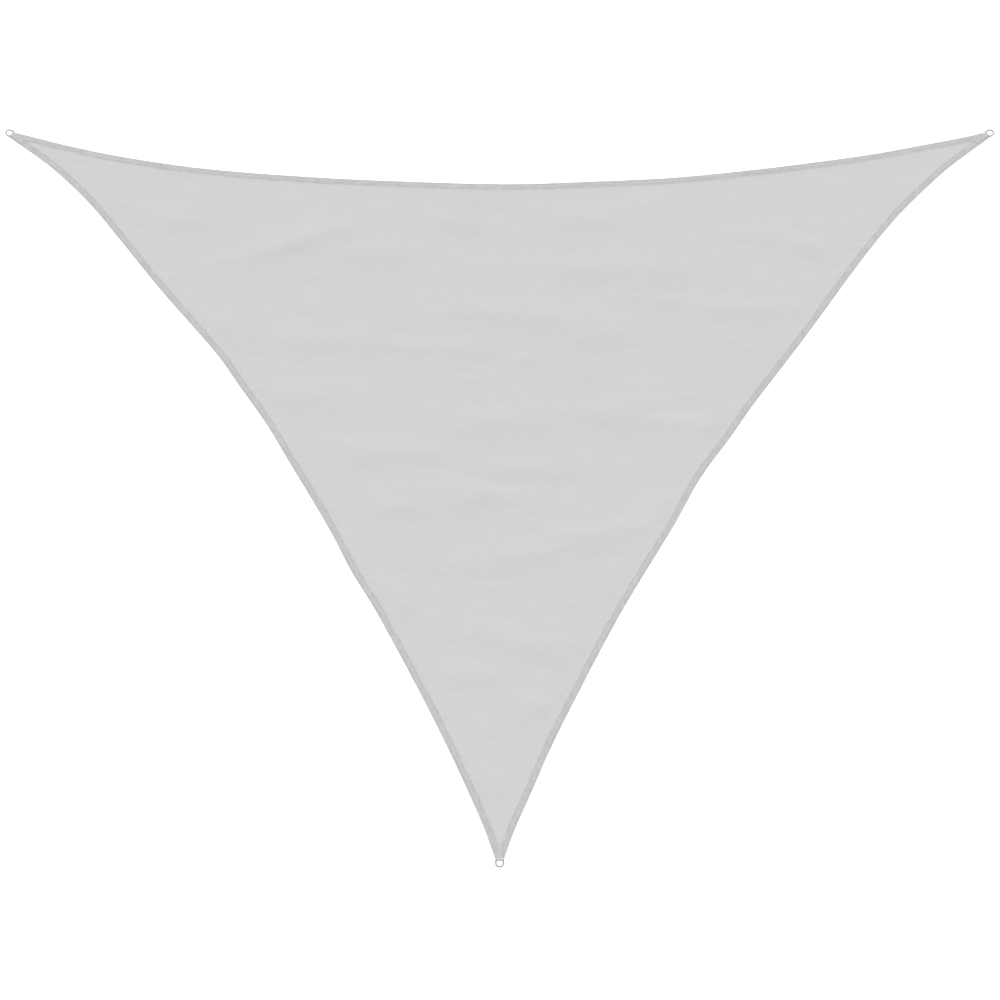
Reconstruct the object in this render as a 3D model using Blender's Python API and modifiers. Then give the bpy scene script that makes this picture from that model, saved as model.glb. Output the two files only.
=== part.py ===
"""A triangular shade sail lying on level ground: one panel of knitted cloth with hollow-cut edges and a
folded hem, and at each corner a wire D-ring held by a loop of webbing. Metres, +Z up. The origin is on the
ground under the middle of the sail, with the long straight side towards +Y and the apex towards -Y."""

import math

import bmesh
import bpy
from mathutils import Matrix, Vector

# The whole sail: an equilateral triangle between the bows of its three rings, but for a slightly longer apex
RING_TO_RING = 3.963  # along the top, between bow centres, which makes the sail 4.0 m over all
APEX_STRETCH = 0.006
HEIGHT = RING_TO_RING * math.sqrt(3) / 2 + APEX_STRETCH

# D-ring, in its own plane: a bar, two legs and a half-round bow about the ring's centre
WIRE = 0.005
BOW_RADIUS = 0.0145
LEG = 0.015
BAR_CORNER = 0.0035
BOW_STEPS = 14
CORNER_STEPS = 3

# Webbing: one strap folded round the bar, its legs above and below the tip of the cloth
STRAP_WIDTH = 0.022
STRAP_THICKNESS = 0.0012
LOOP_RADIUS = 0.0036
LOOP_START, LOOP_END = -90, 104  # degrees round the bar, from below it to where the strap turns back down
LOOP_STEPS = 10
BAR_HEIGHT = LOOP_RADIUS + STRAP_THICKNESS / 2
STRAP_REACH = 0.080
CLEARANCE = 0.0003

# Cloth
PANEL_THICKNESS = 0.0016
HEM_THICKNESS = 0.003
HEM = 0.028
HEM_STEP = 0.003  # how far the cloth takes to thin from the hem to the panel
PANEL_INSET = HEM + HEM_STEP
TIP_BACK = 0.022  # from the bow's centre to the blunt end of the cloth
TIP_WIDTH = 0.034
TIP_LIFT = STRAP_THICKNESS + CLEARANCE
TIP_LIFT_UNTIL = 0.120  # from the bow's centre, where the cloth starts down to the ground
TIP_LIFT_GONE = 0.190
FLAT_MARGIN = 0.090  # beside the hem, where the ripples fade out
COLUMNS = 24
ROWS = 76
CROWDING = 0.5  # how much closer together the columns are at the panel's sides: 0 is even, 1 is the most
CORNER_SHARES = (0.01, 0.3)  # shares of an edge from its ring, between which the hems' inner lines cross
TILT_STEP = 0.002  # share of an edge over which its tilt is measured
FOOT_ROUNDS = 4
CROSSING_ROUNDS = 40

# Each corner's bow centre, and the way that its ring points
CORNERS = {
    "left": (Vector((-RING_TO_RING / 2, HEIGHT / 2)), math.radians(140)),
    "right": (Vector((RING_TO_RING / 2, HEIGHT / 2)), math.radians(40)),
    "apex": (Vector((0, -HEIGHT / 2)), math.radians(270)),
}

# How far each edge is cut in from the straight line between its rings.
# Columns: share of the way from the first ring to the second, depth in mm
TOP_HOLLOW = (
    (0.06, 65),
    (0.12, 125),
    (0.20, 181),
    (0.30, 221),
    (0.40, 245),
    (0.51, 259),
    (0.60, 245),
    (0.67, 229),
    (0.74, 197),
    (0.81, 156),
    (0.88, 108),
    (0.94, 54),
    (0.975, 22),
)
LEFT_HOLLOW = (
    (0.06, 65),
    (0.12, 114),
    (0.18, 136),
    (0.25, 158),
    (0.35, 202),
    (0.39, 205),
    (0.45, 209),
    (0.50, 199),
    (0.56, 188),
    (0.60, 177),
    (0.64, 160),
    (0.70, 150),
    (0.84, 96),
    (0.95, 33),
)
RIGHT_HOLLOW = (
    (0.06, 62),
    (0.10, 98),
    (0.14, 126),
    (0.20, 147),
    (0.32, 164),
    (0.42, 185),
    (0.46, 187),
    (0.52, 195),
    (0.58, 177),
    (0.70, 155),
    (0.82, 108),
    (0.87, 83),
    (0.92, 50),
    (0.96, 25),
)

# Soft ripples in the panel, each a long low swell.
# Columns: x, y, half length, half width in metres; turn from +X in degrees; height in mm
RIPPLES = (
    (-0.80, 1.18, 0.26, 0.055, 20, 11),
    (-0.48, 1.12, 0.15, 0.060, 0, 9),
    (-0.15, 1.27, 0.15, 0.050, -12, 7),
    (0.32, 1.29, 0.17, 0.050, -6, 7),
    (0.46, 1.04, 0.30, 0.065, 0, 10),
    (1.16, 1.17, 0.17, 0.055, -18, 9),
    (-1.27, 1.28, 0.18, 0.050, -8, 7),
    (-1.16, 0.75, 0.12, 0.060, 12, 9),
    (0.13, 0.81, 0.35, 0.060, -4, 11),
    (0.40, 0.71, 0.13, 0.055, 0, 9),
    (0.99, 0.84, 0.20, 0.050, 0, 8),
    (-0.60, 0.68, 0.42, 0.055, -4, 8),
    (-0.77, 0.42, 0.17, 0.050, -12, 7),
    (0.00, 0.31, 0.17, 0.070, 0, 10),
    (0.40, 0.34, 0.13, 0.055, 0, 10),
    (0.81, 0.28, 0.22, 0.050, -6, 8),
    (-0.48, 0.16, 0.20, 0.055, -4, 11),
    (0.10, 0.07, 0.22, 0.050, 0, 8),
    (-0.08, -0.05, 0.17, 0.050, 0, 9),
    (-0.39, -0.11, 0.20, 0.050, 0, 8),
    (0.19, -0.29, 0.46, 0.060, 14, 11),
    (-0.38, -0.55, 0.15, 0.065, -12, 9),
    (0.07, -0.73, 0.32, 0.055, -14, 9),
    (-0.13, -0.89, 0.13, 0.050, 0, 9),
    (0.11, -1.02, 0.13, 0.050, 0, 8),
    (-0.09, -1.37, 0.09, 0.050, 0, 8),
)

SAIL_WHITE = (0.66, 0.66, 0.655)
WEBBING_GREY = (0.56, 0.56, 0.555)
STEEL = (0.62, 0.62, 0.61)


def clear_scene():
    for obj in list(bpy.data.objects):
        bpy.data.objects.remove(obj)


def principled(name, colour, roughness, metallic=0.0):
    material = bpy.data.materials.new(name)
    material.use_nodes = True
    shader = material.node_tree.nodes["Principled BSDF"]
    shader.inputs["Base Color"].default_value = (*colour, 1)
    shader.inputs["Roughness"].default_value = roughness
    shader.inputs["Metallic"].default_value = metallic
    return material


def direction(angle):
    return Vector((math.cos(angle), math.sin(angle)))


def smoothstep(low, high, value):
    share = min(max((value - low) / (high - low), 0), 1)
    return share * share * (3 - 2 * share)


def tip_point(corner, side):
    """One end of the cloth's blunt tip. Side is 1 on the left and -1 on the right, looking outwards."""
    centre, angle = CORNERS[corner]
    out = direction(angle)
    return centre - out * TIP_BACK + out.orthogonal() * (side * TIP_WIDTH / 2)


class Edge:
    """One hollow-cut edge of the cloth, from a corner to another."""

    def __init__(self, start, end, inward_turn, hollow):
        self.origin = CORNERS[start][0]
        way = CORNERS[end][0] - self.origin
        self.length = way.length
        self.along = way.normalized()
        self.turn = inward_turn
        self.inward = self.along.orthogonal() * inward_turn
        ends = [tip_point(start, inward_turn), tip_point(end, -inward_turn)]
        first, last = [(self.share(p), self.rise(p)) for p in ends]
        self.knots = [first] + [(share, depth / 1000) for share, depth in hollow] + [last]

    def share(self, point):
        return (point - self.origin).dot(self.along) / self.length

    def rise(self, point):
        return (point - self.origin).dot(self.inward)

    def slope_at(self, knot):
        """The curve's slope at a knot, from the knots beside it."""
        before = self.knots[max(knot - 1, 0)]
        after = self.knots[min(knot + 1, len(self.knots) - 1)]
        return (after[1] - before[1]) / (after[0] - before[0])

    def depth(self, share):
        """The smooth curve through the knots."""
        last = len(self.knots) - 2
        knot = max(k for k in range(last + 1) if k == 0 or self.knots[k][0] <= share)
        (x0, y0), (x1, y1) = self.knots[knot], self.knots[knot + 1]
        span = x1 - x0
        t = (share - x0) / span
        start_slope, end_slope = self.slope_at(knot) * span, self.slope_at(knot + 1) * span
        return (
            y0 * (1 + 2 * t) * (1 - t) ** 2
            + start_slope * t * (1 - t) ** 2
            + y1 * t * t * (3 - 2 * t)
            - end_slope * t * t * (1 - t)
        )

    def tilt(self, share):
        """The angle between the outline and the straight line from ring to ring."""
        rise = self.depth(share + TILT_STEP) - self.depth(share - TILT_STEP)
        return math.atan(rise / (2 * TILT_STEP * self.length))

    def normal(self, share):
        tilt = self.tilt(share)
        return self.inward * math.cos(tilt) - self.along * math.sin(tilt)

    def point(self, share, inset=0.0):
        """The outline at this share, or the line parallel to it that lies inset further in."""
        outline = self.origin + self.along * (share * self.length) + self.inward * self.depth(share)
        return outline + self.normal(share) * inset

    def foot(self, point):
        """The share of the outline's point that lies square to this one."""
        share = self.share(point)
        for _ in range(FOOT_ROUNDS):
            share += (point - self.point(share)).cross(self.normal(share)) * self.turn / self.length
        return share

    def inside(self, point):
        """How far a point lies inside this edge."""
        share = self.foot(point)
        return (point - self.point(share)).dot(self.normal(share))


def crossing(first, second, inset, near, far):
    """The share of the first edge, between near and far, where its inset line meets the second edge's."""
    for _ in range(CROSSING_ROUNDS):
        middle = (near + far) / 2
        if second.inside(first.point(middle, inset)) < inset:
            near = middle
        else:
            far = middle
    return middle


class SailPlan:
    """Where each vertex of a grid lies on the sail. Its outer rows and columns are the hem."""

    def __init__(self):
        self.top = Edge("left", "right", -1, TOP_HOLLOW)
        self.left = Edge("left", "apex", 1, LEFT_HOLLOW)
        self.right = Edge("right", "apex", -1, RIGHT_HOLLOW)
        self.edges = (self.top, self.left, self.right)
        # The corners of the panel, and of the hem's inner line a step outside it
        panel, hem = self.meeting_points(PANEL_INSET), self.meeting_points(HEM)
        self.left_corner, self.right_corner, self.apex_corner = panel
        self.left_hem_corner, self.right_hem_corner, self.apex_hem_corner = hem

    def meeting_points(self, inset):
        near, far = CORNER_SHARES
        at_left = crossing(self.top, self.left, inset, near, far)
        at_right = crossing(self.top, self.right, inset, 1 - near, 1 - far)
        at_apex = crossing(self.left, self.right, inset, 1 - near, 1 - far)
        return (
            self.top.point(at_left, inset),
            self.top.point(at_right, inset),
            self.left.point(at_apex, inset),
        )

    def top_share(self, column):
        if column == 1:
            return self.top.foot(self.left_hem_corner)
        if column == COLUMNS - 1:
            return self.top.foot(self.right_hem_corner)
        first, last = self.top.foot(self.left_corner), self.top.foot(self.right_corner)
        return first + (last - first) * self.across(column)

    def side_share(self, edge, row):
        if row == ROWS - 1:
            return edge.foot(self.apex_hem_corner)
        first = edge.foot(self.left_corner if edge is self.left else self.right_corner)
        return first + (edge.foot(self.apex_corner) - first) * self.down(row)

    def across(self, column):
        """0 at the panel's left side and 1 at its right, closer together towards both."""
        share = (column - 2) / (COLUMNS - 4)
        return share - CROWDING * math.sin(2 * math.pi * share) / (2 * math.pi)

    def down(self, row):
        return (row - 2) / (ROWS - 4)

    def top_point(self, column, row):
        upper = 1 if row == 0 else -1
        if column == 0:
            return tip_point("left", -upper)
        if column == COLUMNS:
            return tip_point("right", upper)
        if row == 1 and column == 1:
            return self.left_hem_corner
        if row == 1 and column == COLUMNS - 1:
            return self.right_hem_corner
        return self.top.point(self.top_share(column), row * HEM)

    def side_point(self, column, row):
        edge, line = (self.left, column) if column <= 2 else (self.right, COLUMNS - column)
        return edge.point(self.side_share(edge, row), (0, HEM, PANEL_INSET)[line])

    def apex_point(self, column, row):
        if row == ROWS:
            side = -1 if column == 0 else 1
            middle = (tip_point("apex", -1) + tip_point("apex", 1)) / 2
            return tip_point("apex", side) if column in (0, COLUMNS) else middle
        if row == ROWS - 1:
            return self.side_point(column, row) if column in (0, COLUMNS) else self.apex_hem_corner
        outer = column < 2 or column > COLUMNS - 2
        return self.side_point(column, row) if outer else self.apex_corner

    def panel_point(self, column, row):
        """A patch stretched between the panel's three sides."""
        across, down = self.across(column), self.down(row)
        top = self.top.point(self.top_share(column), PANEL_INSET)
        chord = self.left_corner.lerp(self.right_corner, across)
        sides = self.side_point(2, row).lerp(self.side_point(COLUMNS - 2, row), across)
        return (top - chord) * (1 - down) + sides

    def point(self, column, row):
        if row <= 1:
            return self.top_point(column, row)
        if row >= ROWS - 2:
            return self.apex_point(column, row)
        if row == 2 and column in (2, COLUMNS - 2):
            return self.left_corner if column == 2 else self.right_corner
        if column < 2 or column > COLUMNS - 2:
            return self.side_point(column, row)
        return self.panel_point(column, row)

    def in_hem(self, column, row):
        return min(column, COLUMNS - column, row) <= 1 or row >= ROWS - 1

    def height(self, point):
        """The height of the cloth's underside over the ground."""
        to_ring = min((point - centre).length for centre, _ in CORNERS.values())
        lift = TIP_LIFT * (1 - smoothstep(TIP_LIFT_UNTIL, TIP_LIFT_GONE, to_ring))
        margin = min(edge.inside(point) for edge in self.edges) - HEM
        swell = 0
        for x, y, half_length, half_width, turn, rise in RIPPLES:
            across, up = Matrix.Rotation(-math.radians(turn), 2) @ (point - Vector((x, y)))
            swell += rise / 1000 * math.exp(-((across / half_length) ** 2) - (up / half_width) ** 2)
        return max(lift, swell * smoothstep(HEM_STEP, FLAT_MARGIN, margin))


def make_cloth(collection):
    """The underside of the cloth, given its thickness upwards: the full hem, and less in the panel."""
    plan = SailPlan()
    grid = bmesh.new()
    bmesh.ops.create_grid(grid, x_segments=COLUMNS, y_segments=ROWS, size=1)
    weights = grid.verts.layers.deform.verify()
    for vertex in grid.verts:
        column = round((vertex.co.x + 1) / 2 * COLUMNS)
        row = round((1 - vertex.co.y) / 2 * ROWS)
        place = plan.point(column, row)
        vertex.co = (*place, plan.height(place))
        vertex[weights][0] = 1 if plan.in_hem(column, row) else PANEL_THICKNESS / HEM_THICKNESS
    bmesh.ops.remove_doubles(grid, verts=grid.verts, dist=1e-5)
    bmesh.ops.triangulate(grid, faces=grid.faces)
    mesh = bpy.data.meshes.new("sail_cloth")
    grid.to_mesh(mesh)
    grid.free()
    cloth = bpy.data.objects.new("sail_cloth", mesh)
    collection.objects.link(cloth)
    cloth.vertex_groups.new(name="thickness")
    solidify = cloth.modifiers.new("Thickness", "SOLIDIFY")
    solidify.thickness = HEM_THICKNESS
    solidify.offset = 1
    solidify.vertex_group = "thickness"
    mesh.materials.append(principled("sail cloth", SAIL_WHITE, 0.85))
    return cloth


def arc(centre_x, centre_y, radius, start, end, steps):
    """Points along an arc, from the start angle to the end angle in degrees."""
    angles = [math.radians(start + (end - start) * step / steps) for step in range(steps + 1)]
    return [(centre_x + radius * math.cos(a), centre_y + radius * math.sin(a)) for a in angles]


def ring_matrix(corner):
    """Bow centre at the corner, bow outwards and on the ground, and the bar up in the webbing's loop."""
    centre, angle = CORNERS[corner]
    reach = LEG + BOW_RADIUS
    tilt = math.asin((BAR_HEIGHT - WIRE / 2) / reach)
    height = WIRE / 2 + BOW_RADIUS * math.sin(tilt)
    turn = Matrix.Rotation(angle - math.pi / 2, 4, "Z") @ Matrix.Rotation(-tilt, 4, "X")
    return Matrix.Translation((*centre, height)) @ turn


def make_ring(corner, collection, material):
    side = BOW_RADIUS - BAR_CORNER
    route = arc(0, 0, BOW_RADIUS, 0, 180, BOW_STEPS)
    route += arc(-side, -LEG + BAR_CORNER, BAR_CORNER, 180, 270, CORNER_STEPS)
    route += arc(side, -LEG + BAR_CORNER, BAR_CORNER, 270, 360, CORNER_STEPS)
    curve = bpy.data.curves.new("ring_" + corner, "CURVE")
    curve.dimensions = "3D"
    curve.bevel_depth = WIRE / 2
    curve.bevel_resolution = 3
    spline = curve.splines.new("POLY")
    spline.points.add(len(route) - 1)
    for point, (x, y) in zip(spline.points, route):
        point.co = (x, y, 0, 1)
    spline.use_cyclic_u = True
    curve.materials.append(material)
    ring = bpy.data.objects.new("ring_" + corner, curve)
    ring.matrix_world = ring_matrix(corner)
    collection.objects.link(ring)
    return ring


def make_webbing(corner, collection, material):
    """The strap's path, from under the cloth out round the bar and back over it, drawn out sideways."""
    centre, angle = CORNERS[corner]
    under = STRAP_THICKNESS / 2
    over = TIP_LIFT + HEM_THICKNESS + CLEARANCE + STRAP_THICKNESS / 2
    path = [(-STRAP_REACH, under), (-LEG - LOOP_RADIUS, under)]
    path += arc(-LEG, BAR_HEIGHT, LOOP_RADIUS, LOOP_START, LOOP_END, LOOP_STEPS)
    path += [(-TIP_BACK - LOOP_RADIUS, over), (-STRAP_REACH, over)]
    strap = bmesh.new()
    points = [strap.verts.new((STRAP_WIDTH / 2, y, z)) for y, z in path]
    for start, end in zip(points, points[1:]):
        strap.edges.new((start, end))
    drawn = bmesh.ops.extrude_edge_only(strap, edges=strap.edges)["geom"]
    moved = [part for part in drawn if isinstance(part, bmesh.types.BMVert)]
    bmesh.ops.translate(strap, verts=moved, vec=(-STRAP_WIDTH, 0, 0))
    mesh = bpy.data.meshes.new("webbing_" + corner)
    strap.to_mesh(mesh)
    strap.free()
    webbing = bpy.data.objects.new("webbing_" + corner, mesh)
    webbing.matrix_world = Matrix.Translation((*centre, 0)) @ Matrix.Rotation(angle - math.pi / 2, 4, "Z")
    collection.objects.link(webbing)
    solidify = webbing.modifiers.new("Thickness", "SOLIDIFY")
    solidify.thickness = STRAP_THICKNESS
    solidify.offset = 0
    solidify.use_even_offset = True
    mesh.materials.append(material)
    return webbing


def main():
    clear_scene()
    sail = bpy.data.collections.new("shade_sail")
    bpy.context.scene.collection.children.link(sail)
    make_cloth(sail)
    webbing = principled("webbing", WEBBING_GREY, 0.8)
    steel = principled("stainless steel", STEEL, 0.25, 1.0)
    for corner in CORNERS:
        make_ring(corner, sail, steel)
        make_webbing(corner, sail, webbing)


main()
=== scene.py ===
import math

import bmesh
import bpy
import numpy as np
from mathutils import Matrix, Vector, noise


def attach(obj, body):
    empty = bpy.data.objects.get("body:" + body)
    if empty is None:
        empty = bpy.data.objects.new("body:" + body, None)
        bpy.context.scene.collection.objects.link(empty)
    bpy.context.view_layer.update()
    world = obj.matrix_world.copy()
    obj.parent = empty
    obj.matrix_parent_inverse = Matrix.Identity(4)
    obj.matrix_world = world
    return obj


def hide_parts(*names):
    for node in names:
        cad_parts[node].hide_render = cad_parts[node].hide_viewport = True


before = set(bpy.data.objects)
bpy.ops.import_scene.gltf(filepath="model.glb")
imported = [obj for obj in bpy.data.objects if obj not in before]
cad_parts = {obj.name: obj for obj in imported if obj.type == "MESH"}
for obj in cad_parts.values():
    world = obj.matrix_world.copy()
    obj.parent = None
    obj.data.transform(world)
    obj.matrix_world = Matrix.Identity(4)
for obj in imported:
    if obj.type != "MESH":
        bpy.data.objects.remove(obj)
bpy.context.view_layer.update()        # metres, with the ground at z = 0 and the apex of the sail towards -Y
print("frame loaded,", len(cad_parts), "solids")


# camera and light

shot = {
    "elevation": 55.8,           # degrees above the ground, from the apex side
    "distance": 25.035,
    "aim": (0.0014, -0.0737, 0),
    "lens": 231.96,
    "clip": (1, 400),
}


def placeCamera():
    data = bpy.data.cameras.new("camera")
    data.lens = shot["lens"]
    data.clip_start, data.clip_end = shot["clip"]
    camera = bpy.data.objects.new("camera", data)
    tilt = math.radians(shot["elevation"])
    camera.location = Vector(shot["aim"]) + Vector((0, -math.cos(tilt), math.sin(tilt))) * shot["distance"]
    camera.rotation_euler = (math.pi / 2 - tilt, 0, 0)
    bpy.context.scene.collection.objects.link(camera)
    bpy.context.scene.camera = camera


studio = {
    "skyColour": (1, 1, 1, 1),
    "skyStrength": 1.02,
    "lampFrom": (-2.5, 9, 7),    # behind the long side, so that the ripples show
    "lampAngle": 30,
    "lampStrength": 0.8,
}


def lightStudio():
    scene = bpy.context.scene
    scene.view_settings.view_transform = "Standard"
    scene.world = bpy.data.worlds.new("white room")
    scene.world.use_nodes = True
    sky = scene.world.node_tree.nodes["Background"]
    sky.inputs["Color"].default_value = studio["skyColour"]
    sky.inputs["Strength"].default_value = studio["skyStrength"]
    data = bpy.data.lights.new("far softbox", "SUN")
    data.angle = math.radians(studio["lampAngle"])
    data.energy = studio["lampStrength"]
    lamp = bpy.data.objects.new("far softbox", data)
    lamp.location = studio["lampFrom"]
    lamp.rotation_euler = (-lamp.location).to_track_quat("-Z", "Y").to_euler()
    scene.collection.objects.link(lamp)


# small helpers

def smoothstep(low, high, value):
    share = np.clip((value - low) / (high - low), 0, 1)
    return share * share * (3 - 2 * share)


def waver(places, lengths, layer):
    # a soft random swing between about -1 and 1, with the lengths of its waves along X and Y.
    # Each layer is another swing
    return np.array([noise.noise((x / lengths[0], y / lengths[1], layer)) for x, y in places])


def leftOf(way):
    return np.array((-way[1], way[0]))


def crossed(a, b):
    return a[..., 0] * b[..., 1] - a[..., 1] * b[..., 0]


def newPiece(name, mesh, material, slot, *nodes):
    piece = bpy.data.objects.new(name, mesh)
    bpy.context.scene.collection.objects.link(piece)
    mesh.materials.append(material)
    mesh.shade_smooth()
    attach(piece, "root")
    if nodes:
        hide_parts(*nodes)
    return piece


def meshFrom(name, form):
    mesh = bpy.data.meshes.new(name)
    form.to_mesh(mesh)
    form.free()
    return mesh


def spotsOf(mesh):
    spots = np.empty(len(mesh.vertices) * 3)
    mesh.vertices.foreach_get("co", spots)
    return spots.reshape(-1, 3)


def setValues(mesh, **layers):
    # numbers at each point, for the material to read
    for name, values in layers.items():
        layer = mesh.attributes.new(name, "FLOAT", "POINT")
        layer.data.foreach_set("value", values.astype(np.float32))


def drawOut(form, edges, way):
    # faces from a line of edges to a copy of it, moved along the way. Gives the edges of the copy
    drawn = bmesh.ops.extrude_edge_only(form, edges=edges)["geom"]
    moved = [part for part in drawn if isinstance(part, bmesh.types.BMVert)]
    bmesh.ops.translate(form, verts=moved, vec=way)
    reached = set(moved)
    made = [part for part in drawn if isinstance(part, bmesh.types.BMEdge)]
    return [edge for edge in made if reached.issuperset(edge.verts)]


def thicken(piece, thickness):
    wall = piece.modifiers.new("thickness", "SOLIDIFY")
    wall.thickness = thickness
    wall.offset = 0
    return wall


# shader maths

class Socket:
    # a shader socket that plain sums work on
    def __init__(self, finish, link):
        self.finish = finish
        self.link = link

    def __add__(self, other):
        return self.finish.maths("ADD", self, other)

    __radd__ = __add__

    def __sub__(self, other):
        return self.finish.maths("SUBTRACT", self, other)

    def __rsub__(self, other):
        return self.finish.maths("SUBTRACT", other, self)

    def __mul__(self, other):
        return self.finish.maths("MULTIPLY", self, other)

    __rmul__ = __mul__

    def __truediv__(self, other):
        return self.finish.maths("DIVIDE", self, other)


class Finish:
    # one material, with its nodes
    def __init__(self, name, roughness, metallic=0.0):
        self.material = bpy.data.materials.new(name)
        self.material.use_nodes = True
        self.tree = self.material.node_tree
        self.shader = self.tree.nodes["Principled BSDF"]
        self.feed("Roughness", roughness)
        self.feed("Metallic", metallic)

    def add(self, kind, settings, inputs, output=0):
        node = self.tree.nodes.new("ShaderNode" + kind)
        for name, value in settings.items():
            setattr(node, name, value)
        for name, value in inputs.items():
            self.plug(node.inputs[name], value)
        return Socket(self, node.outputs[output])

    def plug(self, socket, value):
        if isinstance(value, Socket):
            self.tree.links.new(value.link, socket)
        else:
            socket.default_value = value

    def feed(self, name, value):
        self.plug(self.shader.inputs[name], value)

    def maths(self, operation, *values):
        return self.add("Math", {"operation": operation}, dict(enumerate(values)))

    def place(self):
        return self.add("TexCoord", {}, {}, "Object")

    def axes(self, vector):
        return [self.add("SeparateXYZ", {}, {"Vector": vector}, axis) for axis in "XYZ"]

    def attribute(self, name):
        return self.add("Attribute", {"attribute_name": name}, {}, "Fac")

    def grain(self, vector, sizes, detail=2.0):
        # soft noise around 0, with the sizes of its marks along X, Y and Z
        scaled = self.add("Mapping", {}, {"Vector": vector, "Scale": [1 / size for size in sizes]})
        return self.add("TexNoise", {}, {"Vector": scaled, "Scale": 1.0, "Detail": detail}) - 0.5

    def wave(self, value):
        # a cosine of whole turns, between 0 and 1
        return self.maths("COSINE", value * (2 * math.pi)) * 0.5 + 0.5

    def ridge(self, value, centre, half):
        # 1 at the centre, falling softly to 0 on both sides
        off = (value - centre) / half
        return self.maths("MAXIMUM", 1 - off * off, 0.0)

    def below(self, value, edge, soft):
        # 1 below the edge and 0 above it
        limits = {"From Min": edge - soft, "From Max": edge + soft, "To Min": 1.0, "To Max": 0.0}
        return self.add("MapRange", {"interpolation_type": "SMOOTHSTEP"}, {"Value": value, **limits})

    def tint(self, grey, change):
        # a grey, lighter or darker by a share of up to a quarter
        most = 0.25
        dark = (*[(1 - most) * grey] * 3, 1)
        light = (*[(1 + most) * grey] * 3, 1)
        factor = change * (0.5 / most) + 0.5
        mixed = self.add("Mix", {"data_type": "RGBA"}, {0: factor, 6: dark, 7: light}, 2)
        self.feed("Base Color", mixed)

    def relief(self, height):
        # height in metres
        self.feed("Normal", self.add("Bump", {}, {"Height": height, "Distance": 1.0}))


# the sail's outline

outline = {
    "ringToRing": 3.963,         # between the centres of the rings' bows
    "tipBack": 0.022,            # from there to the blunt end of the cloth
    "tipWidth": 0.034,
    "apexStretch": 0.006,        # how much longer the apex is drawn than an equilateral triangle's
    "hem": 0.028,
    "topHollow": (               # share of the way along, depth in mm
        (0.06, 65), (0.12, 125), (0.20, 181), (0.30, 221), (0.40, 245), (0.51, 259), (0.60, 245),
        (0.67, 229), (0.74, 197), (0.81, 156), (0.88, 108), (0.94, 54), (0.975, 22),
    ),
    "leftHollow": (
        (0.06, 65), (0.12, 114), (0.18, 136), (0.25, 158), (0.35, 202), (0.39, 205), (0.45, 209),
        (0.50, 199), (0.56, 188), (0.60, 177), (0.64, 160), (0.70, 150), (0.84, 96), (0.95, 33),
    ),
    "rightHollow": (
        (0.06, 62), (0.10, 98), (0.14, 126), (0.20, 147), (0.32, 164), (0.42, 185), (0.46, 187),
        (0.52, 195), (0.58, 177), (0.70, 155), (0.82, 108), (0.87, 83), (0.92, 50), (0.96, 25),
    ),
}
sailDepth = outline["ringToRing"] * math.sqrt(3) / 2 + outline["apexStretch"]
corners = {                      # centre of the ring's bow, and the way the ring points in degrees
    "left": (np.array((-outline["ringToRing"] / 2, sailDepth / 2)), 140),
    "right": (np.array((outline["ringToRing"] / 2, sailDepth / 2)), 40),
    "apex": (np.array((0, -sailDepth / 2)), 270),
}


def wayOut(corner):
    angle = math.radians(corners[corner][1])
    return np.array((math.cos(angle), math.sin(angle)))


def tipPoint(corner, side):
    # side 1 is the left end of the blunt tip and -1 the right one, looking outwards
    out = wayOut(corner)
    return corners[corner][0] - out * outline["tipBack"] + leftOf(out) * (side * outline["tipWidth"] / 2)


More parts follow.
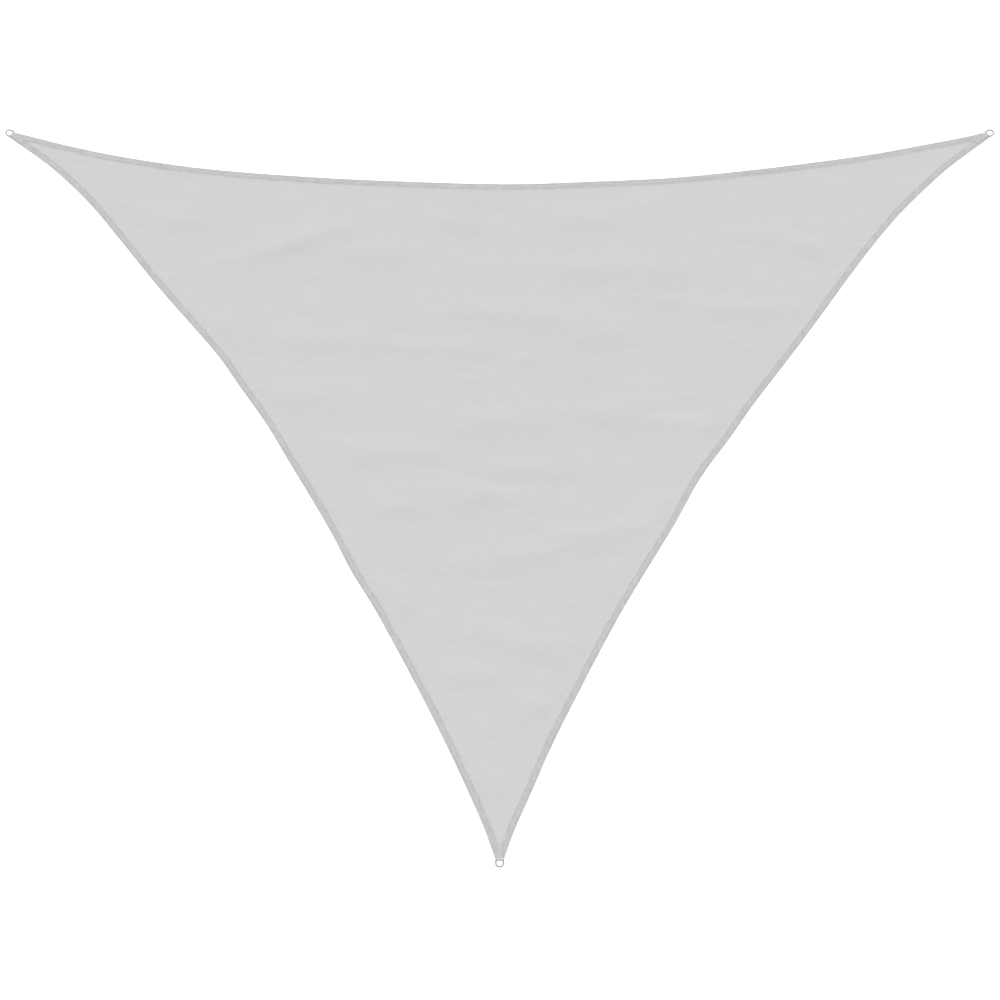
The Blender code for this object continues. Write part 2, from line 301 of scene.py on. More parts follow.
class HollowEdge:
    # one hollow-cut edge, from one corner to another. Shares, insets and places may be arrays
    tiltStep = 0.002             # share of the edge to either side, for its tilt
    footRounds = 4               # enough for a foot to settle

    def __init__(self, start, end, turn, hollow):
        self.start, self.end, self.turn = start, end, turn
        self.origin = corners[start][0]
        way = corners[end][0] - self.origin
        self.length = np.linalg.norm(way)
        self.along = way / self.length
        self.inward = leftOf(self.along) * turn
        ends = [self.measure(tipPoint(start, turn)), self.measure(tipPoint(end, -turn))]
        knots = [ends[0]] + [(share, depth / 1000) for share, depth in hollow] + [ends[1]]
        self.shares, self.depths = np.array(knots).T
        reach = np.arange(len(knots))
        before, after = np.maximum(reach - 1, 0), np.minimum(reach + 1, len(knots) - 1)
        rises = self.depths[after] - self.depths[before]
        self.slopes = rises / (self.shares[after] - self.shares[before])

    def measure(self, place):
        off = place - self.origin
        return off @ self.along / self.length, off @ self.inward

    def depth(self, share):
        # the smooth curve through the knots
        knot = np.clip(np.searchsorted(self.shares, share, side="right") - 1, 0, len(self.shares) - 2)
        span = self.shares[knot + 1] - self.shares[knot]
        t = (share - self.shares[knot]) / span
        return (
            self.depths[knot] * (1 + 2 * t) * (1 - t) ** 2
            + self.slopes[knot] * span * t * (1 - t) ** 2
            + self.depths[knot + 1] * t * t * (3 - 2 * t)
            - self.slopes[knot + 1] * span * t * t * (1 - t)
        )

    def normal(self, share):
        rise = self.depth(share + self.tiltStep) - self.depth(share - self.tiltStep)
        tilt = np.arctan(rise / (2 * self.tiltStep * self.length))[..., None]
        return self.inward * np.cos(tilt) - self.along * np.sin(tilt)

    def point(self, share, inset=0.0):
        share, inset = np.asarray(share, float), np.asarray(inset, float)
        line = self.origin + self.along * (share * self.length)[..., None]
        return line + self.inward * self.depth(share)[..., None] + self.normal(share) * inset[..., None]

    def foot(self, place):
        # the share of the outline's point that lies square to this place
        share = self.measure(place)[0]
        for _ in range(self.footRounds):
            off = place - self.point(share)
            share = share + crossed(off, self.normal(share)) * self.turn / self.length
        return share

    def inside(self, place):
        share = self.foot(place)
        return np.sum((place - self.point(share)) * self.normal(share), axis=-1)

    def sharesAt(self, corner):
        # the shares of the blunt end and of the panel's corner, at this corner
        return (self.shares[-1], self.last) if corner == self.end else (self.shares[0], self.first)


topEdge = HollowEdge("left", "right", -1, outline["topHollow"])
leftEdge = HollowEdge("left", "apex", 1, outline["leftHollow"])
rightEdge = HollowEdge("right", "apex", -1, outline["rightHollow"])
edges = (topEdge, leftEdge, rightEdge)
meetings = {"left": (topEdge, leftEdge), "right": (topEdge, rightEdge), "apex": (leftEdge, rightEdge)}


# the cloth: one sheet, its hem folded under

cloth = {
    "thickness": 0.0009,
    "hemThickness": 0.003,       # over its layers
    "foldRadius": 0.00105,       # of the middle of the sheet, where it folds under
    "foldSteps": 6,
    "underShort": 0.0015,        # what is folded under ends this short of the hem's line
    "tipGap": 0.001,             # and this short of the middle of a tip
    "hemStep": 0.003,            # how far the cloth takes to come down from the hem
    "stepFrom": 0.001,           # how far within the hem's line that starts
    "stitchInset": 0.0045,       # of the two rows of stitches, from either side of the hem
    "stitchDip": 0.00045,
    "dipHalf": 0.002,            # half width of such a dip
    "slack": 0.0009,             # how far the hem stands up between its rows of stitches
    "slackHalf": 0.3,            # half width of that, as a share of the hem
    "pressed": 0.85,             # share of it that the webbing presses flat at the tips
    "lift": 0.0015,              # at the tips, which lie on the webbing
    "liftUntil": 0.120,          # from the ring
    "liftGone": 0.190,
    "flatMargin": 0.090,         # beside the hem, where the ripples fade out
    "swell": 0.0008,             # of the whole panel, under its ripples
    "swellLengths": (0.26, 0.07),
    "puckerLength": 0.045,       # along the hem
    "gather": 0.0011,            # how far the seam pushes up the cloth beside it
    "gatherRise": (0, 0.004),    # from the hem
    "gatherFall": (0.006, 0.045),
    "runGap": 5,                 # metres from one edge's run to the next one's, more than an edge's length
    "cornerShares": (0.01, 0.3),           # of an edge, between which the hems' inner lines cross
    "crossingRounds": 40,
    "rows": 272,                 # of triangles from a side to the opposite corner
    "size": (4.0, 3.47),
    "cutArea": 5.44,             # square metres, with what is folded under
}
ripples = (                      # x, y, half length, half width in m, turn in degrees, height in mm
    (-0.80, 1.18, 0.26, 0.055, 20, 11),
    (-0.48, 1.12, 0.15, 0.060, 0, 9),
    (-0.15, 1.27, 0.15, 0.050, -12, 7),
    (0.32, 1.29, 0.17, 0.050, -6, 7),
    (0.46, 1.04, 0.30, 0.065, 0, 10),
    (1.16, 1.17, 0.17, 0.055, -18, 9),
    (-1.27, 1.28, 0.18, 0.050, -8, 7),
    (-1.16, 0.75, 0.12, 0.060, 12, 9),
    (0.13, 0.81, 0.35, 0.060, -4, 11),
    (0.40, 0.71, 0.13, 0.055, 0, 9),
    (0.99, 0.84, 0.20, 0.050, 0, 8),
    (-0.60, 0.68, 0.42, 0.055, -4, 8),
    (-0.77, 0.42, 0.17, 0.050, -12, 7),
    (0.00, 0.31, 0.17, 0.070, 0, 10),
    (0.40, 0.34, 0.13, 0.055, 0, 10),
    (0.81, 0.28, 0.22, 0.050, -6, 8),
    (-0.48, 0.16, 0.20, 0.055, -4, 11),
    (0.10, 0.07, 0.22, 0.050, 0, 8),
    (-0.08, -0.05, 0.17, 0.050, 0, 9),
    (-0.39, -0.11, 0.20, 0.050, 0, 8),
    (0.19, -0.29, 0.46, 0.060, 14, 11),
    (-0.38, -0.55, 0.15, 0.065, -12, 9),
    (0.07, -0.73, 0.32, 0.055, -14, 9),
    (-0.13, -0.89, 0.13, 0.050, 0, 9),
    (0.11, -1.02, 0.13, 0.050, 0, 8),
    (-0.09, -1.37, 0.09, 0.050, 0, 8),
)
creases = (                      # narrower ridges and a trough on top of them, in the same columns
    (-0.86, 1.14, 0.09, 0.030, 12, 5.0),
    (0.61, 0.89, 0.12, 0.030, -4, 5.5),
    (-1.14, 0.73, 0.06, 0.028, 10, 5.0),
    (-0.14, 0.66, 0.11, 0.030, -4, 4.5),
    (0.10, 0.59, 0.06, 0.025, 0, 5.0),
    (-0.14, 0.49, 0.09, 0.028, 6, 4.5),
    (-0.60, 0.46, 0.12, 0.030, -6, 4.5),
    (-0.85, 0.38, 0.10, 0.028, 4, 5.0),
    (0.48, 0.39, 0.12, 0.030, -4, 4.5),
    (-0.02, 0.28, 0.08, 0.030, 0, 4.5),
    (0.90, 0.26, 0.08, 0.028, -8, 4.5),
    (-0.40, 0.14, 0.11, 0.028, -4, 4.5),
    (-0.35, -0.03, 0.09, 0.030, 0, 4.5),
    (0.65, -0.11, 0.07, 0.030, 8, 4.5),
    (-0.64, -0.14, 0.05, 0.025, 0, 4.5),
    (-0.45, -0.20, 0.08, 0.030, -6, 4.5),
    (0.10, -0.30, 0.13, 0.030, 10, -5.0),
    (0.31, -0.84, 0.06, 0.030, 0, 5.0),
    (0.23, -1.03, 0.05, 0.025, -10, 4.5),
    (-0.11, -1.34, 0.07, 0.028, 0, 4.5),
)
hem, seam = outline["hem"], cloth["stitchInset"]
foldInset = cloth["foldRadius"] + cloth["thickness"] / 2
panelInset = hem + cloth["hemStep"]
hemInsets = np.array((           # of the rows of points from the fold to the panel
    foldInset, seam, 2 * seam, hem / 2, hem - 2 * seam, hem - seam, hem - cloth["stepFrom"], panelInset
))
hemRows = len(hemInsets) - 1


def insetOf(row):
    return hemInsets[np.clip(row, 0, hemRows)]


def panelCorner(corner):
    # the place where the lines inside both hems cross, found by halving
    first, second = meetings[corner]
    near, far = cloth["cornerShares"]
    if corner == first.end:
        near, far = 1 - near, 1 - far
    for _ in range(cloth["crossingRounds"]):
        middle = (near + far) / 2
        place = first.point(middle, panelInset)
        if second.inside(place) < panelInset:
            near = middle
        else:
            far = middle
    return place


panelCorners = {corner: panelCorner(corner) for corner in meetings}
for edge in edges:
    edge.first = edge.foot(panelCorners[edge.start])
    edge.last = edge.foot(panelCorners[edge.end])


def byEdge(top, left, right):
    # each edge, with the counts of rows from it and from the sides at its start and its end
    return (topEdge, top, left, right), (leftEdge, left, top, right), (rightEdge, right, top, left)


def sharesOn(edge, deep, fromStart, fromEnd):
    # where the lattice's stations stand along an edge, from counts of rows
    stations = cloth["rows"] - 2 * hemRows - deep
    middle = edge.first + (edge.last - edge.first) * (fromStart - hemRows) / stations
    nearStart = edge.shares[0] + (edge.first - edge.shares[0]) * (fromStart - 1) / (hemRows - 1)
    nearEnd = edge.shares[-1] + (edge.last - edge.shares[-1]) * (fromEnd - 1) / (hemRows - 1)
    return np.where(fromStart < hemRows, nearStart, np.where(fromEnd < hemRows, nearEnd, middle))


def latticePlaces(top, left, right):
    # turns counts of rows from the three sides into places on the ground
    span = cloth["rows"] - 3 * hemRows

    def weigh(count):
        return (count - hemRows) / span

    facing = {"apex": top, "right": left, "left": right}
    places = sum(weigh(count)[:, None] * panelCorners[corner] for corner, count in facing.items())
    for edge, deep, fromStart, fromEnd in byEdge(top, left, right):
        start, end = panelCorners[edge.start], panelCorners[edge.end]
        share = weigh(fromStart) / np.maximum(weigh(fromStart) + weigh(fromEnd), 1e-9)       # never by 0
        curve = edge.point(edge.first + (edge.last - edge.first) * share, panelInset)
        chord = start + share[:, None] * (end - start)
        places = places + (1 - weigh(deep))[:, None] * (curve - chord)
    for edge, deep, fromStart, fromEnd in byEdge(top, left, right):
        strip = (deep < hemRows) & (fromStart >= hemRows) & (fromEnd >= hemRows)
        shares = sharesOn(edge, deep, fromStart, fromEnd)
        places[strip] = edge.point(shares, insetOf(deep))[strip]
    depths = {topEdge: top, leftEdge: left, rightEdge: right}
    for corner, (first, second) in meetings.items():
        here = (depths[first] < hemRows) & (depths[second] < hemRows)
        places[here] = tipPlaces(corner, depths[first][here], depths[second][here])
    return places


def tipPlaces(corner, firstDeep, secondDeep):
    # a patch stretched over a tip, between its two outer lines and the stations beside the panel's corner
    first, second = meetings[corner]
    middle = (tipPoint(corner, 1) + tipPoint(corner, -1)) / 2

    def outer(edge, count):
        tip, beside = edge.sharesAt(corner)
        share = tip + (beside - tip) * (count - 1) / (hemRows - 1)
        return np.where((count == 0)[:, None], middle, edge.point(share, insetOf(0)))

    def station(edge, row):
        return edge.point(edge.sharesAt(corner)[1], insetOf(row))

    across, down = (secondDeep / hemRows)[:, None], (firstDeep / hemRows)[:, None]
    ends = (
        (1 - across) * (1 - down) * middle
        + across * (1 - down) * station(first, 0)
        + (1 - across) * down * station(second, 0)
        + across * down * panelCorners[corner]
    )
    return (
        (1 - down) * outer(first, secondDeep)
        + down * station(second, secondDeep)
        + (1 - across) * outer(second, firstDeep)
        + across * station(first, firstDeep)
        - ends
    )


def hemMeasures(places):
    # how far in from the nearest edge a place lies, how far along the edges, and how much nearer
    # that edge is than the next one, which is nothing where two hems meet
    insets = np.array([edge.inside(places) for edge in edges])
    lengths = [edge.foot(places) * edge.length for edge in edges]
    runs = np.array([cloth["runGap"] * side + length for side, length in enumerate(lengths)])
    nearest = np.argmin(insets, axis=0)
    pick = np.arange(len(places))
    ordered = np.sort(insets, axis=0)
    return insets[nearest, pick], runs[nearest, pick], ordered[1] - ordered[0]


def liftAt(places):
    toRing = np.min([np.linalg.norm(places - centre, axis=1) for centre, _ in corners.values()], axis=0)
    return cloth["lift"] * (1 - smoothstep(cloth["liftUntil"], cloth["liftGone"], toRing))


def rippleHeight(places):
    total = np.zeros(len(places))
    for x, y, halfLength, halfWidth, turn, height in ripples + creases:
        angle = math.radians(turn)
        off = places - (x, y)
        along = off @ (math.cos(angle), math.sin(angle))
        across = off @ (-math.sin(angle), math.cos(angle))
        total += height / 1000 * np.exp(-((along / halfLength) ** 2) - (across / halfWidth) ** 2)
    return total


def sheetHeight(places):
    # the middle of the sheet over the ground, seen from above
    inset, run, _ = hemMeasures(places)
    past = inset - hem
    lift = liftAt(places)
    fade = smoothstep(cloth["hemStep"], cloth["flatMargin"], past)
    swell = rippleHeight(places) + cloth["swell"] * (1 + waver(places, cloth["swellLengths"], 3.7))
    panel = np.maximum(lift, swell * fade) + cloth["thickness"] / 2
    pucker = waver(np.column_stack((run, inset)), (cloth["puckerLength"], 1), 1.3)
    gather = smoothstep(*cloth["gatherRise"], past) * (1 - smoothstep(*cloth["gatherFall"], past))
    panel = panel + cloth["gather"] * gather * (0.5 + 0.5 * pucker)
    dips = sum(np.exp(-(((inset - row) / cloth["dipHalf"]) ** 2)) for row in (seam, hem - seam))
    between = np.clip(1 - ((inset / hem - 0.5) / cloth["slackHalf"]) ** 2, 0, 1)
    hemTop = cloth["hemThickness"] - cloth["thickness"] / 2 + lift
    slack = cloth["slack"] * (1 - cloth["pressed"] * lift / cloth["lift"])
    hemTop = hemTop - cloth["stitchDip"] * dips + slack * between * (0.4 + 0.6 * pucker)
    down = smoothstep(-cloth["stepFrom"], cloth["hemStep"], past)
    return hemTop * (1 - down) + panel * down


def foldProfile():
    # inset and height of the sheet's middle, from the fold's first step to the end of what is folded under
    radius, steps, middle = cloth["foldRadius"], cloth["foldSteps"], cloth["hemThickness"] / 2
    turns = [math.pi * (0.5 - step / steps) for step in range(1, steps + 1)]
    fold = [(foldInset - radius * math.cos(turn), middle + radius * math.sin(turn)) for turn in turns]
    under = (seam, hem / 2, hem - cloth["underShort"])
    return fold + [(inset, cloth["thickness"] / 2) for inset in under]


def latticeMesh(steps):
    # the sheet before it is put in place. Its points stand at their counts: along X the rows from the
    # left side, along Y those from the top one, along Z the steps of what is folded under
    rows = cloth["rows"]
    grid = bmesh.new()
    points = [grid.verts.new(place) for place in ((0, 0, 0), (0, rows, 0), (rows, 0, 0))]
    grid.faces.new(points)
    bmesh.ops.subdivide_edges(grid, edges=grid.edges[:], cuts=rows - 1, use_grid_fill=True)
    sharp = [v for v in grid.verts if max(v.co.x, v.co.y, rows - v.co.x - v.co.y) > rows - 0.5]
    bmesh.ops.delete(grid, geom=sharp, context="VERTS")      # the tips are blunt

    def sideOf(vertex):
        counts = (vertex.co.y, vertex.co.x, rows - vertex.co.x - vertex.co.y)
        return min(range(3), key=lambda side: abs(counts[side]))

    def onRim(edge, step):
        first, second = edge.verts
        flat = all(abs(vertex.co.z - step) < 0.1 for vertex in edge.verts)
        return flat and edge.is_boundary and sideOf(first) == sideOf(second)

    for step in range(steps):
        drawOut(grid, [edge for edge in grid.edges if onRim(edge, step)], (0, 0, 1))
    return meshFrom("sail", grid)


def makeCloth(material):
    profile = foldProfile()
    mesh = latticeMesh(len(profile))
    left, top, step = np.rint(spotsOf(mesh)).astype(int).T
    right = cloth["rows"] - left - top
    places = latticePlaces(top, left, right)
    across, run, apart = hemMeasures(places)
    heights = sheetHeight(places)
    for edge, deep, fromStart, fromEnd in byEdge(top, left, right):
        under = (step > 0) & (deep == 0)
        shares = sharesOn(edge, deep, fromStart, fromEnd)[under]
        insets, levels = np.array(profile)[step[under] - 1].T
        rims, normals = edge.point(shares), edge.normal(shares)
        for corner in (edge.start, edge.end):
            out = wayOut(corner)
            toMiddle = np.abs(crossed(rims - corners[corner][0], out)) / np.abs(crossed(normals, out))
            insets = np.minimum(insets, toMiddle - cloth["tipGap"])
        places[under] = rims + normals * insets[:, None]
        heights[under] = levels + liftAt(places[under])
        across[under] = insets
    mesh.vertices.foreach_set("co", np.column_stack((places, heights)).ravel())
    setValues(mesh, hemShare=across / hem, hemRun=run, hemApart=apart)
    mesh.update()

    sail = newPiece("sail", mesh, material, "cloth", "sail_cloth")
    thicken(sail, cloth["thickness"])
    print("sail made,", len(mesh.vertices), "points")
    return sail


fabric = {                       # what only the cloth's material shows
    "grey": 0.557,
    "chain": 0.0042,             # from one chain of loops to the next
    "loop": 0.0028,
    "knitGapShade": 0.03,                # painted shade: how much darker it is between them
    "toneAndFoldShade": (                   # uneven tone of the cloth, partly painted shade of its soft folds: length along X, width along Y, detail, strength
        (0.42, 0.16, 2.0, 0.03),
        (0.22, 0.07, 3.0, 0.055),
        (0.10, 0.034, 2.0, 0.055),
        (0.045, 0.015, 2.0, 0.055),
        (0.013, 0.011, 1.0, 0.045),
    ),
}


def clothFinish():
    finish = Finish("knitted shade cloth", 0.85)
    place = finish.place()
    x, y, _ = finish.axes(place)
    share, run = finish.attribute("hemShare"), finish.attribute("hemRun")
    strip = finish.add("CombineXYZ", {}, {"X": run, "Y": share * hem, "Z": 0.0})
    wander = finish.grain(strip, (0.060, 1, 1), 2.0)         # the folded edge under the hem isn't straight
    inHem = finish.below(share + wander * 0.35, 1.03, 0.06)

    # knit: chains of loops along X, with tapes laid between them
    chain, loop = fabric["chain"], fabric["loop"]
    off = finish.maths("ABSOLUTE", finish.maths("FRACT", y / chain) - 0.5)
    cord = finish.ridge(off, 0.0, 0.3)
    stitches = finish.wave(x / loop + off * 1.4)
    tapes = finish.wave(x / (2 * loop) + y / (2 * chain)) * (1 - cord)
    knit = cord * (stitches * 0.4 + 0.6) + tapes * 0.5
    # painted shade in the recesses between the knit's cords and tapes
    knitGapShade = (1 - cord) * (1 - tapes)

    # uneven tone, partly painted shade of the cloth's soft folds
    toneAndFoldShade = [
        finish.grain(place, (length, width, 1), detail) * strength
        for length, width, detail, strength in fabric["toneAndFoldShade"]
    ]
    change = sum(toneAndFoldShade) - knitGapShade * fabric["knitGapShade"]

    # the hem is a little darker, with blobs and slanting streaks of painted shade for its puckers and pull
    # lines
    slanted = finish.add("CombineXYZ", {}, {"X": run + share * (0.9 * hem), "Y": share * hem, "Z": 3.0})
    puckerShade = finish.grain(strip, (0.040, 0.011, 1), 2.0)
    pullLineShade = finish.grain(slanted, (0.012, 0.060, 1), 1.0)
    change = change + inHem * (puckerShade * 0.32 + pullLineShade * 0.18 - 0.13)
    lone = 1 - finish.below(finish.attribute("hemApart"), 0.050, 0.018)     # 0 where two hems meet
    # pull marks just inside the hem: a bump, and in the colour painted highlights and shade where they catch
    # the light
    pullsAndHighlights = finish.grain(strip, (0.012, 0.040, 1), 1.0) * finish.ridge(share, 1.35, 0.6) * lone
    finish.tint(fabric["grey"], change + pullsAndHighlights * 0.11)
    finish.relief(knit * 0.00035 + pullsAndHighlights * 0.0020)
    return finish.material


# stitches, all of them one small spindle set down over and over

stitching = {
    "pitch": 0.005,
    "length": 0.0042,
    "width": 0.0010,
    "height": 0.0009,
    "stand": 0.0001,             # of its middle, over the cloth or webbing
    "clearOfEdge": 0.003,
    "samples": 4000,             # of an edge, to measure along it
    "wayStep": 0.0005,           # share of an edge to either side, for the way of a stitch
    "grey": 0.50,
}


def spindle():
    form = bmesh.new()
    bmesh.ops.create_uvsphere(form, u_segments=5, v_segments=3, radius=0.5)
    size = (stitching["width"], stitching["height"], stitching["length"])
    bmesh.ops.scale(form, verts=form.verts, vec=size)
    bmesh.ops.rotate(form, verts=form.verts, matrix=Matrix.Rotation(math.pi / 2, 3, "Y"))
    form.verts.index_update()
    points = np.array([vertex.co for vertex in form.verts])
    faces = [[vertex.index for vertex in face.verts] for face in form.faces]
    form.free()
    return points, faces


def setDown(name, spots, ways):
    # a mesh with a spindle at each spot, lying along its way
    points, faces = spindle()
    ahead = np.column_stack((ways, np.zeros(len(ways))))
    aside = np.column_stack((-ways[:, 1], ways[:, 0], np.zeros(len(ways))))
    placed = (
        spots[:, None]
        + points[None, :, 0, None] * ahead[:, None]
        + points[None, :, 1, None] * aside[:, None]
        + points[None, :, 2, None] * np.array((0, 0, 1))
    )
    count = len(points)
    copied = [[index + count * copy for index in face] for copy in range(len(spots)) for face in faces]
    mesh = bpy.data.meshes.new(name)
    mesh.from_pydata(placed.reshape(-1, 3), [], copied)
    mesh.update()
    return mesh


def hemStitches(edge, inset):
    # places and ways of the stitches of one row along an edge, from blunt end to blunt end
    shares = np.linspace(edge.shares[0], edge.shares[-1], stitching["samples"])
    line = edge.point(shares, inset)
    run = np.concatenate(([0], np.cumsum(np.linalg.norm(np.diff(line, axis=0), axis=1))))
    middles = np.arange(stitching["pitch"], run[-1], stitching["pitch"])
    shares = np.interp(middles, run, shares)
    places = edge.point(shares, inset)
    step = stitching["wayStep"]
    ways = edge.point(shares + step, inset) - edge.point(shares - step, inset)
    ways = ways / np.linalg.norm(ways, axis=1)[:, None]
    keep = np.full(len(places), True)
    for other in edges:
        keep &= other.inside(places) > stitching["clearOfEdge"]
    for corner in (edge.start, edge.end):
        beyond = (places - corners[corner][0]) @ wayOut(corner)
        keep &= beyond < -outline["tipBack"] - stitching["clearOfEdge"]
    return places[keep], ways[keep]


def makeHemStitches(material):
    for name, edge in (("top", topEdge), ("left", leftEdge), ("right", rightEdge)):
        rows = [hemStitches(edge, inset) for inset in (seam, hem - seam)]
        places = np.concatenate([row[0] for row in rows])
        ways = np.concatenate([row[1] for row in rows])
        heights = sheetHeight(places) + cloth["thickness"] / 2 + stitching["stand"]
        mesh = setDown("hem_stitches_" + name, np.column_stack((places, heights)), ways)
        newPiece("hem_stitches_" + name, mesh, material, "cloth")
        print("hem stitched,", name, len(places), "stitches")


def threadFinish():
    finish = Finish("sewing thread", 0.6)
    place = finish.place()
    twist = finish.grain(place, (0.0008, 0.0008, 0.0008), 0.0)
    finish.tint(stitching["grey"], twist * 0.2)
    return finish.material


# corner webbing

webbing = {
    "width": 0.022,
    "thickness": 0.0012,
    "loopRadius": 0.0036,
    "reach": 0.080,
    "ringBar": 0.015,            # from the bow's centre back to the bar in the loop
    "clearance": 0.0003,
    "loopTurn": (-90, 104),      # degrees round the bar
    "legSteps": 16,
    "loopSteps": 22,
    "widthSteps": 10,
    "softEdge": 0.0003,
    "softSteps": 2,
    "softOver": 50,              # degrees, so that only the strap's own edges are softened
    "boxNear": 0.029,            # the sewn box, from the bow's centre
    "boxFar": 0.075,
    "boxHalf": 0.0075,
    "boxPitch": 0.0042,
    "grey": 0.53,
    "rib": 0.0018,
    "yarn": 0.0013,
    "selvedge": 0.0022,
}


def webbingPath():
    # from under the cloth, out round the bar and back over it: distance outwards, height
    under = webbing["thickness"] / 2
    over = cloth["lift"] + cloth["hemThickness"] + webbing["clearance"] + under
    radius, bar, steps = webbing["loopRadius"], webbing["ringBar"], webbing["legSteps"]
    lower = np.linspace(-webbing["reach"], -bar - radius, steps)
    upper = np.linspace(-outline["tipBack"] - radius, -webbing["reach"], steps)
    turns = np.radians(np.linspace(*webbing["loopTurn"], webbing["loopSteps"]))
    loop = [(-bar + radius * math.cos(turn), under + radius + radius * math.sin(turn)) for turn in turns]
    return [(away, under) for away in lower] + loop + [(away, over) for away in upper]


def cornerPlace(corner):
    centre, angle = corners[corner]
    return Matrix.Translation((*centre, 0)) @ Matrix.Rotation(math.radians(angle - 90), 4, "Z")


def makeWebbing(corner, material):
    path = webbingPath()
    form = bmesh.new()
    points = [form.verts.new((webbing["width"] / 2, *spot)) for spot in path]
    rim = [form.edges.new(pair) for pair in zip(points, points[1:])]
    for _ in range(webbing["widthSteps"]):
        rim = drawOut(form, rim, (-webbing["width"] / webbing["widthSteps"], 0, 0))
    mesh = meshFrom("corner_strap_" + corner, form)
    runs = np.concatenate(([0], np.cumsum([math.dist(a, b) for a, b in zip(path, path[1:])])))
    spots = spotsOf(mesh)
    nearest = np.argmin(np.linalg.norm(spots[:, None, 1:] - np.array(path)[None], axis=2), axis=1)
    setValues(mesh, strapAcross=spots[:, 0], strapRun=runs[nearest])
    mesh.transform(cornerPlace(corner))
    strap = newPiece("corner_strap_" + corner, mesh, material, "webbing", "webbing_" + corner)
    thicken(strap, webbing["thickness"]).use_even_offset = True
    soft = strap.modifiers.new("soft edge", "BEVEL")
    soft.width = webbing["softEdge"]
    soft.segments = webbing["softSteps"]
    soft.limit_method = "ANGLE"
    soft.angle_limit = math.radians(webbing["softOver"])
    return strap, float(runs[-1])


def makeBoxStitches(corner, material):
    # the box and its cross, sewn through the webbing and the cloth's tip
    near, far, half = -webbing["boxNear"], -webbing["boxFar"], webbing["boxHalf"]
    height = webbingPath()[-1][1] + webbing["thickness"] / 2 + stitching["stand"]
    flat = ((-half, near), (half, near), (half, far), (-half, far))
    box = [Vector((*spot, height)) for spot in flat]
    lines = list(zip(box, box[1:] + box[:1])) + [(box[0], box[2]), (box[1], box[3])]
    spots, ways = [], []
    turn = cornerPlace(corner)
    for start, end in lines:
        count = round((end - start).length / webbing["boxPitch"])
        way = (turn.to_3x3() @ (end - start)).normalized()
        for step in range(count):
            spots.append(turn @ start.lerp(end, (step + 0.5) / count))
            ways.append(way.xy)
    mesh = setDown("box_stitches_" + corner, np.array(spots), np.array(ways))
    return newPiece("box_stitches_" + corner, mesh, material, "webbing")


def webbingFinish():
    finish = Finish("woven webbing", 0.8)
    across, run = finish.attribute("strapAcross"), finish.attribute("strapRun")
    side = finish.maths("ABSOLUTE", across)
    slant = finish.maths("PINGPONG", across, webbing["width"] / 4)
    ribs = finish.wave(run / webbing["rib"] + slant / webbing["rib"])
    yarns = finish.wave(across / webbing["yarn"])
    selvedge = finish.ridge(side, webbing["width"] / 2, webbing["selvedge"])
    weave = ribs * (yarns * 0.5 + 0.5)
    wear = finish.grain(finish.place(), (0.012, 0.012, 0.012), 3.0)
    finish.tint(webbing["grey"], weave * 0.12 + wear * 0.10 + selvedge * 0.03 - 0.05)
    finish.relief(weave * 0.00022)
    return finish.material


# D-rings

ring = {
    "wire": 0.005,
    "bow": 0.0145,               # radius of the wire's middle
    "leg": 0.015,                # from the bow's centre to the bar
    "barCorner": 0.0035,
    "sides": 20,
    "bowSteps": 36,
    "cornerSteps": 8,
    "join": 1e-5,                # where the wire comes back to its start
    "grey": 0.33,
}


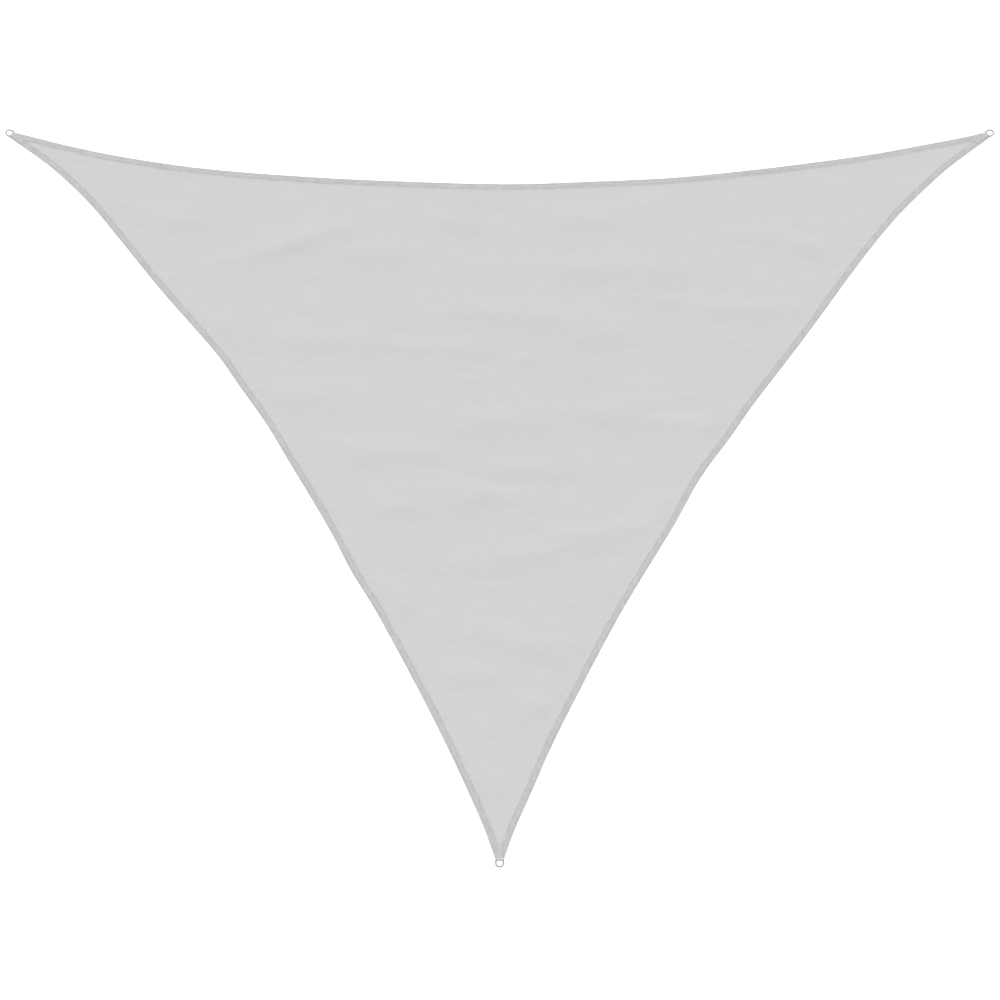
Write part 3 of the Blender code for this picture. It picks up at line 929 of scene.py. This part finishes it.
def makeRing(corner, material):
    bow, leg, turnIn = ring["bow"], ring["leg"], ring["barCorner"]
    wire = bmesh.new()
    disc = bmesh.ops.create_circle(wire, segments=ring["sides"], radius=ring["wire"] / 2)["verts"]
    bmesh.ops.rotate(wire, verts=disc, matrix=Matrix.Rotation(math.pi / 2, 3, "X"))
    bmesh.ops.translate(wire, verts=disc, vec=(bow, 0, 0))
    loop = wire.edges[:]

    def bend(loop, centre, degrees, steps):
        made = bmesh.ops.spin(
            wire, geom=loop, cent=(*centre, 0), axis=(0, 0, 1), angle=math.radians(degrees), steps=steps
        )
        return [part for part in made["geom_last"] if isinstance(part, bmesh.types.BMEdge)]

    loop = bend(loop, (0, 0), 180, ring["bowSteps"])
    loop = drawOut(wire, loop, (0, turnIn - leg, 0))
    loop = bend(loop, (turnIn - bow, turnIn - leg), 90, ring["cornerSteps"])
    loop = drawOut(wire, loop, (2 * (bow - turnIn), 0, 0))
    loop = bend(loop, (bow - turnIn, turnIn - leg), 90, ring["cornerSteps"])
    drawOut(wire, loop, (0, leg - turnIn, 0))
    bmesh.ops.remove_doubles(wire, verts=wire.verts, dist=ring["join"])
    bmesh.ops.recalc_face_normals(wire, faces=wire.faces)
    mesh = meshFrom("d_ring_" + corner, wire)
    barHeight = webbing["loopRadius"] + webbing["thickness"] / 2
    tilt = math.asin((barHeight - ring["wire"] / 2) / (leg + bow))
    lift = ring["wire"] / 2 + bow * math.sin(tilt)
    mesh.transform(cornerPlace(corner) @ Matrix.Translation((0, 0, lift)) @ Matrix.Rotation(-tilt, 4, "X"))
    return newPiece("d_ring_" + corner, mesh, material, "steel", "ring_" + corner)


def steelFinish():
    finish = Finish("stainless steel wire", 0.34, 1.0)
    rub = finish.grain(finish.place(), (0.006, 0.006, 0.006), 3.0)
    finish.tint(ring["grey"], rub * 0.12)
    finish.feed("Roughness", rub * 0.12 + 0.34)
    return finish.material


# the floor

ground = {
    "size": 160,
    "height": -0.0002,           # just under the sail
    "colour": (0.95, 0.95, 0.95, 1),
    "glow": 0.35,                # like a light table's
}


def makeFloor():
    form = bmesh.new()
    bmesh.ops.create_grid(form, x_segments=1, y_segments=1, size=ground["size"] / 2)
    mesh = meshFrom("floor", form)
    finish = Finish("pale floor", 0.9)
    finish.feed("Base Color", ground["colour"])
    finish.feed("Emission Color", ground["colour"])
    finish.feed("Emission Strength", ground["glow"])
    mesh.materials.append(finish.material)
    floor = bpy.data.objects.new("floor", mesh)
    floor.location.z = ground["height"]
    bpy.context.scene.collection.objects.link(floor)


# everything, put together

placeCamera()
lightStudio()
print("studio lit")

sail = makeCloth(clothFinish())
thread = threadFinish()
makeHemStitches(thread)
strapMaterial, steel = webbingFinish(), steelFinish()
for corner in corners:
    dRing = makeRing(corner, steel)
    strap, strapLength = makeWebbing(corner, strapMaterial)
    boxStitches = makeBoxStitches(corner, thread)
    print("corner made,", corner)

makeFloor()
print("floor laid")
